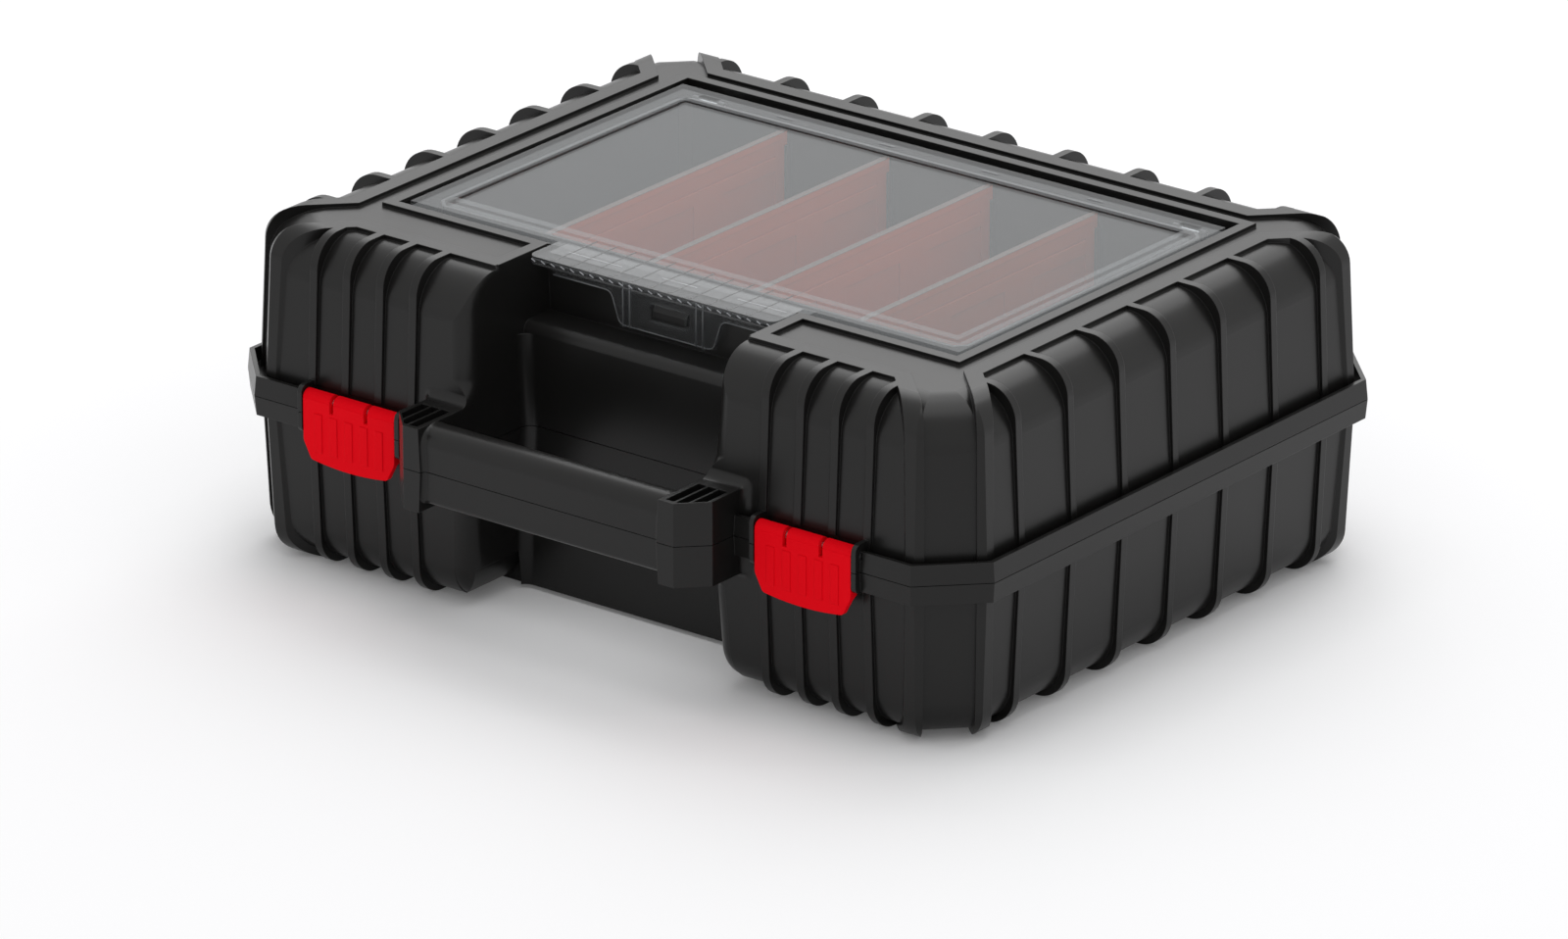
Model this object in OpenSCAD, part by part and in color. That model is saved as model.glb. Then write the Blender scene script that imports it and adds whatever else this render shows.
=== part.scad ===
// Saw blade storage case: two ribbed shells closed by two latches, a hand grip
// in a recess of the front, and a divided organizer under a clear lid in the top.
// It is drawn about the middle of the flange at the parting line, and then
// stood on its feet with its origin under the middle of its box.

/* [Case] */
// Width over the flange at the parting line
case_w = 384; // [376:1:396]
// Depth over the flange at the parting line, without the grip and hinges
case_d = 300; // [294:1:310]
// Height of the lower shell, from its feet to the parting line
lower_h = 72; // [66:1:84]
// Height of the upper shell, from the parting line to its top bands
upper_h = 72; // [71:1:80]
// Wall of both shells
wall = 2.6; // [2:0.1:3.2]
// Radius of the ribs' bends at the top and the bottom
edge_r = 14; // [12:0.5:16]
// Radius of the top panels' bends between the ribs
top_bend_r = 20; // [18:0.5:22]
// Radius of the bottom panels' bends between the ribs
foot_bend_r = 16; // [15.5:0.5:20]
// Legs of the chamfer across each upright corner of the flange
corner_cut = 23.5; // [20:0.5:26]
// Draft of the ribs' faces, in degrees
rib_draft = 2.6; // [1.5:0.1:3.5]
// Draft of the panels between the ribs, in degrees
panel_draft = 3.2; // [2.5:0.1:4]

/* [Flange] */
// Height of the flange lip on each shell
lip_h = 8.5; // [7:0.5:9.5]
// Thickness of the flange lip
lip_t = 2; // [1.4:0.1:2.4]
// How far the lip's face leans in from the parting line to its edge
lip_lean = 0.8; // [0:0.1:1.2]
// How far the flange stands out from the ribs at the parting line
flange_reach = 5.1; // [5:0.1:6]
// Gap between the closed shells
seam = 0.3; // [0.2:0.05:0.5]

/* [Ribs] */
// Width of a rib
rib_w = 3.8; // [3:0.1:5]
// How far a rib stands out from the panels at the parting line
rib_relief = 1.2; // [1:0.1:1.6]
// How far the bands and the lid frame stand above the top panels
band_relief = 1.6; // [1.2:0.1:2.2]
// How far the ribs and bands stand below the bottom panels
foot_relief = 1.8; // [1.2:0.1:3]
// Distance from the flange's face to the bands' outer edge
band_inset = 29.5; // [28:0.5:31]
// Width of the bands
band_w = 7.7; // [5:0.1:8.5]
// Distance between the side ribs
side_pitch = 34.2; // [31:0.1:35]
// How far the side ribs sit behind the middle
side_shift = 1.5; // [0:0.1:3]
// Distance between the front ribs of one block
front_pitch = 17.4; // [16:0.1:17.8]
// First front rib, from the middle of the case
front_first = 90.2; // [88:0.1:92]
// Distance between the back ribs
back_pitch = 36.5; // [32:0.1:37]
// Width of the low channel across each corner
corner_channel = 20.7; // [16:0.1:24]
// Width of the two ribs beside that channel
corner_rib = 7.2; // [5:0.1:8]

/* [Hand recess] */
// Width of the recess at the parting line, which is the clear length of the grip
recess_w = 121; // [112:1:122]
// Draft of the recess's side walls, in degrees
recess_draft = 3; // [1:0.1:3.2]
// Depth of the recess from the flange's face
recess_depth = 44.5; // [40:0.5:48]
// Depth of the set-back wall above the recess ledge, from the flange's face
setback_depth = 62; // [60:0.5:63]
// Height of that ledge above the parting line
ledge_z = 44; // [36:1:46]
// Radius of the recess's upright edges at the front
recess_edge_r = 7.6; // [5:0.1:9]
// Radius of the recess's edges along the bottom
recess_foot_r = 15; // [8:0.5:16]
// Radius of the recess's inner corners
recess_corner_r = 5.5; // [3:0.1:7]
// Radius of the ledge's edge
ledge_r = 4.5; // [3:0.1:6]

/* [Grip] */
// How far the grip's brackets reach in front of the flange
grip_reach = 24.5; // [22:0.5:28]
// Height of the brackets above the parting line
bracket_up = 18.5; // [16:0.5:22]
// Height of the brackets below the parting line
bracket_down = 17.5; // [16:0.5:20]
// Width of a bracket
bracket_w = 19.8; // [19:0.1:20.6]
// Chamfer on each bracket's outer edge
bracket_cut = 11; // [8:0.5:12]
// Depth of the bar from front to back
bar_d = 16; // [15.6:0.1:18]
// How far the bar sits behind the brackets' front
bar_back = 2.3; // [1:0.1:3]
// Height of the bar above the parting line
bar_up = 18.2; // [14:0.1:18.2]
// Height of the bar below the parting line
bar_down = 14.2; // [13:0.1:15.5]
// Radius of the bar's upper edges
bar_r = 7.6; // [5:0.1:7.6]
// Radius of the bar's lower edges
bar_foot_r = 2.6; // [1.5:0.1:4]
// Wall of the hollow bar halves
bar_wall = 2.6; // [2:0.1:3.2]
// Width of the slots in the brackets
slot_w = 4.1; // [3:0.1:4.4]
// Wall between two slots, and between a slot and the bracket's front
slot_gap = 1.1; // [1:0.1:1.4]

/* [Latches] */
// Distance from the middle of the case to the middle of a latch
latch_x = 116.6; // [115:0.1:118]
// Width of a latch
latch_w = 48; // [44:0.5:49]
// Thickness of the latch plate
latch_t = 2.4; // [2:0.1:2.8]
// How far the plate reaches below the parting line
latch_drop = 20.8; // [18:0.1:24]
// Radius of the latch's hinge barrel
barrel_r = 3.4; // [3.1:0.1:3.6]
// Radius of the latch pins
latch_pin_r = 1.5; // [1.2:0.1:1.8]
// Width of the cheeks beside a latch
cheek_w = 2.2; // [1.8:0.1:3]

/* [Lid frame and clear lid] */
// Width of the channel between the side bands and the lid frame
side_channel = 6.8; // [5:0.1:8]
// Width of the channel between the back band and the lid frame
back_channel = 4.8; // [4:0.1:6]
// Distance from the flange's front face to the lid frame
front_plateau = 58.2; // [57:0.1:59]
// Width of the raised frame round the lid
frame_w = 4.9; // [4:0.1:5.5]
// Gap beside the clear lid
lid_gap = 2.4; // [1.5:0.1:3]
// Gap in front of the clear lid
lid_front_gap = 4.5; // [3:0.1:5]
// Gap behind the clear lid, in which its back edge turns
lid_back_gap = 6.2; // [6:0.1:7.5]
// Thickness of the clear lid
lid_t = 2.2; // [1.8:0.1:2.4]
// Width of the lid's rim round its sunken window
lid_rim = 11.7; // [10:0.1:12.5]
// How far the window lies below the rim
lid_sink = 2; // [1.5:0.1:2.2]
// Length of the finger tab in front of the lid
tab_len = 19.5; // [16:0.5:21]
// Thickness of the tab's front lip, downwards
tab_lip = 3.4; // [3:0.1:4]
// Width of the snap tongue at its top
tongue_w = 57; // [50:1:60]
// How far the tongue hangs below the tab
tongue_h = 22; // [20:0.5:24]
// How far the skirt beside the tongue hangs below the tab
skirt_h = 8.4; // [6:0.1:9]
// Thickness of the tongue
tongue_t = 2; // [1.6:0.1:2.4]
// Radius of the clear lid's hinge pins
lid_pin_r = 1.1; // [0.9:0.1:1.3]

/* [Organizer] */
// Distance from the lid frame's inner face to the tub's inside
tub_side = 9.1; // [8.6:0.1:13]
// Inside depth of the tub below its mouth
tub_depth = 47; // [40:1:50]
// Wall of the tub
tub_wall = 1.6; // [1.2:0.1:1.8]
// Number of dividers
divider_count = 4; // [4]
// Thickness of a divider's sheet
divider_t = 2.2; // [2:0.1:2.6]
// Thickness of a divider's top bead
bead_t = 3.1; // [2.8:0.1:3.4]

/* [Rear hinges] */
// How far the hinge barrels reach behind the flange
hinge_reach = 10.5; // [10:0.1:12]
// Radius of the hinge barrels
knuckle_r = 4.5; // [4:0.1:4.8]
// Radius of the hinge pins
hinge_pin_r = 1.8; // [1.5:0.1:2.2]
// Distance from the middle of the case to each hinge
hinge_x = 104; // [90:1:120]
// Length of a hinge
hinge_len = 46; // [40:1:54]

/* [Hidden] */
$fn = 64;

black = [0.06, 0.06, 0.06];
latch_red = [0.82, 0.04, 0.1];
divider_red = [0.72, 0.16, 0.12];
clear = [0.75, 0.8, 0.82, 0.4];
steel = [0.6, 0.61, 0.62];

run_fit = 0.05;                       // radial clearance of a pin in its bore
air = 0.3;                            // clearance between pieces that don't touch
over = 1;                             // how far a cut runs past a face

half_w = case_w / 2;
half_d = case_d / 2;
span = 3 * case_w;                    // longer than any section
origin_shift = (grip_reach - hinge_reach) / 2;

// shells
rib_inset = flange_reach;
panel_inset = flange_reach + rib_relief;
deck_z = upper_h - band_relief;       // top of the panels and channels
floor_z = lower_h - foot_relief;      // bottom panels, below the parting line
front_panel_y = half_d - panel_inset;

// bands and ribs in plan
band_x = half_w - band_inset;
band_y = half_d - band_inset;
corner_rib_reach = 60;
front_ribs = 4;
side_ribs = 7;
back_ribs = 9;

// lid frame and the sunken seat inside it
frame_x = band_x - band_w - side_channel;
frame_back = band_y - band_w - back_channel;
frame_front = -half_d + front_plateau;
seat_x = frame_x - frame_w;
seat_back = frame_back - frame_w;
seat_front = frame_front + frame_w;
seat_z = upper_h - 10;
seat_wall = 2.4;

// hand recess
recess_half = recess_w / 2;
recess_top = recess_half + upper_h * tan(recess_draft);
pad_y = -half_d + recess_depth;
setback_y = -half_d + setback_depth;
bridge_w = 6.4;                       // strip of deck between the frame and the front band

// clear lid
lid_x = seat_x - lid_gap;
lid_front = seat_front + lid_front_gap;
lid_back = seat_back - lid_back_gap;
lid_top = upper_h - 0.4;
lid_under = lid_top - lid_t;
window_x = lid_x - lid_rim;
window_front = lid_front + lid_rim + 3;
window_back = lid_back - lid_rim - 1.3;
tab_half = recess_top - 1.3;
tab_slot = tab_half + 2 * air;        // half width of the tab's opening in the frame
shelf_z = lid_under - 3 * air;        // shelf that the tab lies over
tab_front = lid_front - tab_len;
tab_r = 4;
tab_lip_t = 1.6;
tongue_gap = 1.6;                     // between the tongue and the set-back wall
tongue_y = setback_y - tongue_gap - tongue_t;
tongue_low = lid_under - tongue_h;
tongue_taper = 4.5;                   // how far each of its sides draws in
tongue_rib_pitch = 3.5;
tongue_rib_w = 1.6;
tongue_rib_h = 2.2;
skirt_in = 4.5;                       // from the tab's side to the skirt's
catch_w = 18.4;                       // opening in the tongue
catch_z = tongue_low + 5;
catch_h = 7.6;
catch_play = 0.6;                     // between the catch and the opening's edges
joined = 0.5;                         // how far a piece's own parts run into one another
lid_axis_y = lid_back - 2.4;
lid_axis_z = lid_under - 2.6;
lid_knuckle_r = 2.4;
lid_knuckle_x = lid_x - 16;
lid_knuckle_w = 10;
knuckle_neck = 3.2;
lid_lug_w = 3;
lug_r = lid_knuckle_r - 0.2;
lug_back = 0.6;                       // how far a lug reaches behind the axis, clear of the opened lid

// organizer
tub_top = lid_under - air;
tub_floor = tub_top - tub_depth;
tub_front = lid_front + 9.8;
tub_back = lid_axis_y - lid_knuckle_r - air - tub_wall - 0.6;
tub_cut = 4;
tub_half = seat_x - tub_side;
tub_play = 0.4;                       // between the tub and its opening in the seat
bay_pitch = 2 * tub_half / (divider_count + 1);
divider_top = lid_under - lid_sink - 0.6;
bead_h = 3;                           // height of a divider's top bead
panel_count = 3;                      // sunken panels on each side of a divider
panel_w = 36;
panel_gap = 19;                       // between two of these panels
panel_foot = 7;                       // from a divider's lower edge to its panels
panel_head = 16;                      // from a divider's top to its panels
panel_sink = 0.4;
line_low = 10;                        // from a divider's top to the groove under its bead
line_h = 1;
line_sink = 0.3;
line_in = 8;                          // from a divider's ends to that groove's
guide_low = 6;                        // how far the guide ribs end below a divider's top
guide_w = 1.6;
guide_d = 2.6;
boss_r = 3.5;
boss_x = tub_half + tub_wall + tub_play + boss_r;
boss_low = seat_z - seat_wall - 9.6;
ear_t = 2.5;
boss_ys = [tub_front + 18, tub_back - 18];
screw_r = 1.45;
screw_head_r = 2.8;
screw_head_h = 1.8;
screw_len = 9.5;
screw_slot = 0.8;
ear_fit = 0.25;                       // radial clearance of a screw in its ear

// grip
bracket_in = recess_half;
bracket_out = bracket_in + bracket_w;
bracket_front = -half_d - grip_reach;
bar_front = bracket_front + bar_back;
fillet_r = 4.5;
fade = 6;                             // how far a round moves off its edge to run out
slots = 3;
slot_back = 7.4;                      // from the panel's foot to the back end of the slots
slot_depth = 9;
slot_pitch = slot_w + slot_gap;

// latches
cheek_front = 2.6;                    // how far a cheek stands in front of the flange
latch_face = -half_d - 2.3;
latch_axis_y = latch_face + barrel_r;
latch_axis_z = lip_h - 1.9;
cheek_up = latch_axis_z + barrel_r + 1.6;
cheek_low = lip_h + 0.8;              // height of the cheeks on the lower shell
cheek_r = 3.2;
pocket_y = -half_d + 7.2;             // back of the pocket that the latch's barrel turns in
plate_y = -half_d + 1.1;              // face of the flange behind a latch plate
latch_gap = 0.45;                     // between a latch and its cheeks
latch_seat = latch_w / 2 + latch_gap;
hook_z = lip_h + air;
hook_t = 1;
hook_reach = 2.6;
latch_taper = 4;                      // how far a latch draws in at each lower corner
taper_down = 11.5;                    // where that starts, below the parting line
latch_sag = 1.6;                      // how far its lower edge bows down
slit_x = 9;
slit_w = 1.9;
slit_low = 2.7;
grips = 5;                            // raised ribs on a latch's face
grip_pitch = 8;
grip_w = 4;
grip_h = 0.3;
grip_low = 15.5;
grip_high = 1.2;

// rear hinges
hinge_y = half_d + hinge_reach - knuckle_r;
knuckle_gap = 0.35;
knuckle_up = lip_h - 2;               // how high a knuckle joins the flange
knuckle_start = 0.5;                  // how far behind the flange the knuckles cross the seam

// ---------- helpers ----------

function chamfer_at(inset) = corner_cut - inset * (2 - sqrt(2));

// stands the case on its feet, over the middle of its box
module stand() {
    translate([0, origin_shift, lower_h]) children();
}

// a body that is the same all round: the children draw its section, $reach wide
module octa_solid(inset) {
    reach_x = half_w - inset;
    reach_y = half_d - inset;
    reach_corner = (reach_x + reach_y - chamfer_at(inset)) / sqrt(2);
    intersection() {
        rotate([90, 0, 0])
            linear_extrude(span, center = true) let($reach = reach_x) children();
        rotate([90, 0, 90])
            linear_extrude(span, center = true) let($reach = reach_y) children();
        rotate([90, 0, 45])
            linear_extrude(span, center = true) let($reach = reach_corner) children();
        rotate([90, 0, -45])
            linear_extrude(span, center = true) let($reach = reach_corner) children();
    }
}

// half section of a drafted box with round top edges
module dome_section(top, r, draft, dip = 0) {
    bend_z = top - r + r * sin(draft);
    bend_x = $reach - bend_z * tan(draft);
    mid_x = bend_x - r * cos(draft);
    polygon([[-$reach, -dip], [$reach, -dip], [$reach, 0], [bend_x, bend_z], [mid_x, top],
             [-mid_x, top], [-bend_x, bend_z], [-$reach, 0]]);
    for (side = [-1, 1])
        translate([side * mid_x, top - r]) circle(r);
}

module lip_section() {
    polygon([[-$reach, 0], [$reach, 0], [$reach - lip_lean, lip_h], [lip_lean - $reach, lip_h]]);
}

// plan of the case, drawn in by an inset
module octagon(inset) {
    x = half_w - inset;
    y = half_d - inset;
    c = chamfer_at(inset);
    polygon([[x - c, -y], [x, c - y], [x, y - c], [x - c, y],
             [c - x, y], [-x, y - c], [-x, c - y], [c - x, -y]]);
}

// square leaving a round of radius r, for a convex or a concave edge
module spandrel(r) {
    difference() {
        translate([-over, -over]) square(r + over);
        translate([r, r]) circle(r);
    }
}

module inner_fillet(r) {
    difference() {
        square(r);
        translate([r, r]) circle(r);
    }
}

module rect(x0, x1, y0, y1) {
    translate([x0, y0]) square([x1 - x0, y1 - y0]);
}

module block(x0, x1, y0, y1, z0, z1) {
    translate([x0, y0, z0]) cube([x1 - x0, y1 - y0, z1 - z0]);
}

module rod_x(x0, x1, y, z, r) {
    translate([x0, y, z]) rotate([0, 90, 0]) cylinder(h = x1 - x0, r = r);
}

// ---------- ribs, bands and channels in plan ----------

module at_corners() {
    for (sx = [-1, 1], sy = [-1, 1])
        translate([sx * (half_w - corner_cut / 2), sy * (half_d - corner_cut / 2)])
            rotate(atan2(sy, sx)) children();
}

module rib_plan() {
    difference() {
        union() {
            square([2 * band_x, 2 * band_y], center = true);
            for (side = [-1, 1], k = [0 : side_ribs - 1])
                translate([side * half_w, side_shift + (k - (side_ribs - 1) / 2) * side_pitch])
                    square([2 * band_inset + over, rib_w], center = true);
            for (side = [-1, 1], k = [0 : front_ribs - 1])
                translate([side * (front_first + k * front_pitch), -half_d])
                    square([rib_w, 2 * band_inset + over], center = true);
            for (k = [0 : back_ribs - 1])
                translate([(k - (back_ribs - 1) / 2) * back_pitch, half_d])
                    square([rib_w, 2 * band_inset + over], center = true);
            at_corners()
                for (side = [-1, 1])
                    translate([0, side * (corner_channel + corner_rib) / 2])
                        square([2 * corner_rib_reach, corner_rib], center = true);
        }
        square([2 * (band_x - band_w), 2 * (band_y - band_w)], center = true);
        at_corners()
            square([2 * corner_rib_reach, corner_channel], center = true);
    }
}

// raised frame round the clear lid, open at the hand recess
module frame_plan() {
    difference() {
        rect(-frame_x, frame_x, frame_front, frame_back);
        rect(-seat_x, seat_x, seat_front, seat_back);
        rect(-tab_half, tab_half, frame_front - over, 0);
    }
    for (side = [-1, 1])
        translate([side * (recess_top + bridge_w / 2 - over), 0])
            rect(-bridge_w / 2, bridge_w / 2, -band_y + band_w - over, frame_front + over);
}

// ---------- one shell, standing on the parting plane ----------

module shell_skin(height, relief, bend_r) {
    octa_solid(panel_inset) dome_section(height - relief, bend_r, panel_draft);
    intersection() {
        octa_solid(rib_inset) dome_section(height, edge_r, rib_draft);
        linear_extrude(height + over) children();
    }
    difference() {
        octa_solid(0) lip_section();
        translate([0, 0, lip_t]) linear_extrude(lip_h) octagon(lip_t + lip_lean);
    }
}

module shell_hollow(height, relief, bend_r) {
    octa_solid(panel_inset + wall)
        dome_section(height - relief - wall, bend_r - wall, panel_draft, over);
}

// the space between the recess's leaning side walls: the children draw it from front to back
module recess_space(grow, height) {
    low_x = recess_half + grow - height * tan(recess_draft);
    high_x = recess_half + grow + 2 * height * tan(recess_draft);
    intersection() {
        rotate([90, 0, 0]) linear_extrude(span, center = true)
            polygon([[-low_x, -height], [low_x, -height], [high_x, 2 * height], [-high_x, 2 * height]]);
        rotate([90, 0, 90]) linear_extrude(span, center = true) children();
    }
}

// the recess from front to back, up to its back wall
module recess_reach(height, grow = 0) {
    rect(-half_d - 2 * grip_reach, pad_y + grow, -2 * over, height + 2 * over);
}

// the same in the upper shell, where a ledge carries a wall set further back
module recess_steps(grow = 0) {
    recess_reach(upper_h, grow);
    rect(pad_y - over, setback_y + grow, ledge_z - grow, upper_h + 2 * over);
    if (grow == 0)
        translate([pad_y, ledge_z]) mirror([0, 1]) spandrel(ledge_r);
}

// both sides of the recess, where a side wall meets the front wall, with their drafts
module at_edges() {
    for (side = [-1, 1])
        mirror([side < 0 ? 1 : 0, 0, 0])
            translate([recess_half, -front_panel_y, 0])
                rotate([-panel_draft, recess_draft, 0]) children();
}

// turns a section about an axis across the case, from the front upwards
module bend_up(angle) {
    mirror([0, 1, 0]) rotate([90, 0, 90]) rotate_extrude(angle = angle) children();
}

// rounds the recess's upright edges: out of the grip, up the front and over the bend
module recess_edges(top, bracket_h, lift, r) {
    bend_z = (top - r + r * sin(panel_draft)) / cos(panel_draft) + lift;
    low_z = bracket_h + fillet_r + fade;
    at_edges() {
        translate([0, 0, low_z]) linear_extrude(bend_z - low_z) spandrel(recess_edge_r);
        translate([0, r, bend_z]) bend_up(92)
            translate([r, 0]) mirror([1, 0]) spandrel(recess_edge_r);
        translate([0, -fillet_r, low_z]) rotate([180, 0, 0]) bend_up(90)
            translate([fillet_r, 0]) spandrel(recess_edge_r);
    }
}

// pillars left in the recess's inner corners, up to a height
module recess_corners(height) {
    low = 4 * over;                   // runs past the parting plane, as the pillars lean
    for (side = [-1, 1])
        mirror([side < 0 ? 1 : 0, 0, 0])
            translate([recess_half, pad_y, 0]) rotate([0, recess_draft, 0])
                translate([0, 0, -low]) linear_extrude(height + low) mirror([1, 0]) mirror([0, 1])
                    spandrel(recess_corner_r);
}

// thicker walls kept beside the recess's rounded front edges when the shell is hollowed
module recess_fronts(height, bend_r) {
    recess_space(2 * wall, height)
        rect(-half_d - span / 2, -front_panel_y + bend_r, -2 * over, height);
}

// rounds the bottom edges of the recess, or keeps the wall behind that round
module recess_foot(keep) {
    for (side = [-1, 1])
        mirror([side < 0 ? 1 : 0, 0, 0])
            translate([recess_half + floor_z * tan(recess_draft), pad_y + (keep ? wall : 0), floor_z])
                rotate([90, 0, 0]) linear_extrude(span) mirror([0, 1])
                    if (keep)
                        difference() {
                            square(recess_foot_r);
                            translate([recess_foot_r, recess_foot_r]) circle(recess_foot_r - wall);
                        }
                    else {
                        spandrel(recess_foot_r);
                        translate([-over, -foot_relief - over])
                            square([recess_foot_r + over, foot_relief + over]);
                    }
}

// ---------- grip ----------

module bracket_plan() {
    polygon([[bracket_in, -front_panel_y + recess_edge_r], [bracket_in, bracket_front],
             [bracket_out - bracket_cut, bracket_front], [bracket_out, bracket_front + bracket_cut],
             [bracket_out, -front_panel_y + wall / 2],
             [bracket_in + 2 * wall, -front_panel_y + recess_edge_r]]);
}

// fillets where a bracket meets the leaning panel: above it, beside it and round its corner
module bracket_fillets(height) {
    top_z = height - fillet_r * tan(panel_draft);
    translate([0, -front_panel_y, 0]) rotate([-panel_draft, 0, 0]) {
        translate([bracket_in, 0, top_z]) rotate([90, 0, 90])
            linear_extrude(bracket_w) mirror([1, 0]) spandrel(fillet_r);
        translate([bracket_out, 0, -over])
            linear_extrude(top_z + over) mirror([0, 1]) spandrel(fillet_r);
        translate([bracket_out, 0, top_z]) rotate([90, 0, 0]) rotate_extrude(angle = 90)
            difference() {
                translate([0, -over]) square([fillet_r, fillet_r + over]);
                translate([fillet_r, fillet_r]) circle(fillet_r);
            }
    }
}

// plan of the slots, cut off along the bracket's chamfer
module slot_plan() {
    intersection() {
        for (k = [0 : slots - 1])
            translate([bracket_in + 3 * slot_gap + k * slot_pitch, 0])
                rect(0, slot_w, bracket_front + 2 * slot_gap, -front_panel_y - slot_back);
        polygon([[bracket_in, 0], [bracket_in, bracket_front],
                 [bracket_out - bracket_cut - slot_gap, bracket_front],
                 [bracket_out, bracket_front + bracket_cut + slot_gap], [bracket_out, 0]]);
    }
}

// one bracket with its slots and the fillets round it, upwards from the parting plane
module bracket(height) {
    difference() {
        union() {
            linear_extrude(height) bracket_plan();
            bracket_fillets(height);
        }
        translate([0, 0, height - slot_depth]) linear_extrude(slot_depth + over) slot_plan();
    }
}

module bar_section(height, r) {
    difference() {
        union() {
            rect(0, bar_d, 0, height - r);
            rect(r, bar_d - r, 0, height);
            for (y = [r, bar_d - r])
                translate([y, height - r]) circle(r);
        }
        rect(bar_wall, bar_d - bar_wall, -over, height - bar_wall - r / 2);
        rect(-over, bar_d + over, -height, 0);
    }
}

module grip_brackets(height) {
    for (side = [-1, 1])
        mirror([side < 0 ? 1 : 0, 0, 0]) bracket(height);
}

module grip_bar(height, r) {
    translate([-bracket_in - wall, bar_front, 0]) rotate([90, 0, 90])
        linear_extrude(2 * (bracket_in + wall)) bar_section(height, r);
}

// ---------- latch seats and rear hinge knuckles ----------

module cheeks(height) {
    for (side = [-1, 1], edge = [-1, 1]) {
        x = side * latch_x + edge * (latch_seat + cheek_w / 2);
        front = -half_d - cheek_front;
        translate([x, 0, 0]) rotate([90, 0, 90]) linear_extrude(cheek_w, center = true) {
            rect(front, -front_panel_y + wall / 2, 0, height - cheek_r);
            rect(front + cheek_r, -front_panel_y + wall / 2, 0, height);
            translate([front + cheek_r, height - cheek_r]) circle(cheek_r);
        }
    }
}

// clears the flange between the cheeks, down to a floor and back to a face
module seat_clear(floor_z, back_y) {
    for (side = [-1, 1])
        translate([side * latch_x, 0, 0])
            block(-latch_seat, latch_seat, -half_d - 2 * over, back_y, floor_z, lip_h + over);
}

module knuckle(x0, x1) {
    difference() {
        union() {
            rod_x(x0, x1, hinge_y, 0, knuckle_r);
            block(x0, x1, half_d - lip_t, hinge_y, 0, knuckle_up);
        }
        rod_x(x0 - over, x1 + over, hinge_y, 0, hinge_pin_r + run_fit);
    }
}

module knuckles(outer) {
    third = hinge_len / 3;
    for (side = [-1, 1])
        translate([side * hinge_x, 0, 0])
            if (outer)
                for (end = [-1, 1])
                    translate([end * third, 0, 0])
                        knuckle(-third / 2 + knuckle_gap / 2, third / 2 - knuckle_gap / 2);
            else
                knuckle(-third / 2 + knuckle_gap / 2, third / 2 - knuckle_gap / 2);
}

// everything below the seam, apart from the hinge knuckles, which reach over it
module below_seam() {
    difference() {
        block(-span, span, -span, span, -span, seam / 2);
        for (side = [-1, 1])
            translate([side * hinge_x, 0, 0])
                block(-hinge_len / 2, hinge_len / 2, half_d + knuckle_start, half_d + 2 * hinge_reach,
                      -2 * span, span);
    }
}

// ---------- pieces ----------

module lower_shell() color(black) stand() mirror([0, 0, 1]) {
    difference() {
        union() {
            difference() {
                union() {
                    shell_skin(lower_h, foot_relief, foot_bend_r) rib_plan();
                    cheeks(cheek_low);
                    grip_brackets(bracket_down);
                }
                difference() {
                    shell_hollow(lower_h, foot_relief, foot_bend_r);
                    recess_space(wall, lower_h) recess_reach(lower_h, wall);
                    recess_fronts(lower_h, foot_bend_r);
                    recess_foot(true);
                }
                difference() {
                    recess_space(0, lower_h) recess_reach(lower_h);
                    recess_corners(lower_h + 4 * over);
                }
                recess_edges(floor_z, bracket_down, 0, foot_bend_r);
                recess_foot(false);
                seat_clear(-over, plate_y);
            }
            grip_bar(bar_down, bar_foot_r);
            knuckles(true);
        }
        below_seam();
    }
}

// walls that hang from the deck round the lid's seat, with the screw bosses
module seat_walls() {
    block(-seat_x - seat_wall, seat_x + seat_wall, seat_front - seat_wall, seat_back + seat_wall,
          seat_z - seat_wall, upper_h);
    for (side = [-1, 1], y = boss_ys)
        translate([side * boss_x, y, boss_low]) cylinder(h = seat_z - boss_low, r = boss_r);
}

// sunken seat of the lid, with a shelf left behind the hand recess
module seat_cut() {
    difference() {
        block(-seat_x, seat_x, seat_front, seat_back, seat_z, upper_h + over);
        block(-tab_slot, tab_slot, seat_front - over, tub_front, seat_z - over, shelf_z);
    }
    block(-tab_slot, tab_slot, setback_y - over, seat_front + over, shelf_z, upper_h + over);
    translate([0, 0, seat_z - 2 * seat_wall]) linear_extrude(upper_h) tub_plan(tub_wall + tub_play);
    for (side = [-1, 1], y = boss_ys)
        translate([side * boss_x, y, boss_low - over]) cylinder(h = screw_len, r = screw_r + run_fit);
}

// ears that hold the clear lid's pins
module lid_lugs() {
    for (side = [-1, 1], end = [-1, 1]) {
        x = side * lid_knuckle_x + end * (lid_knuckle_w / 2 + air + lid_lug_w / 2);
        rod_x(x - lid_lug_w / 2, x + lid_lug_w / 2, lid_axis_y, lid_axis_z, lug_r);
        block(x - lid_lug_w / 2, x + lid_lug_w / 2, lid_axis_y - lug_r, lid_axis_y + lug_back,
              seat_z - over, lid_axis_z);
    }
}

// the black bump that the clear tongue snaps over
module catch() {
    height = catch_h - 2 * catch_play;
    translate([-catch_w / 2 + catch_play, setback_y, catch_z + catch_play]) rotate([90, 0, 90])
        linear_extrude(catch_w - 2 * catch_play)
            polygon([[joined, 0], [air - tongue_gap, joined], [air - tongue_gap, height / 2],
                     [joined, height]]);
}

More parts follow.
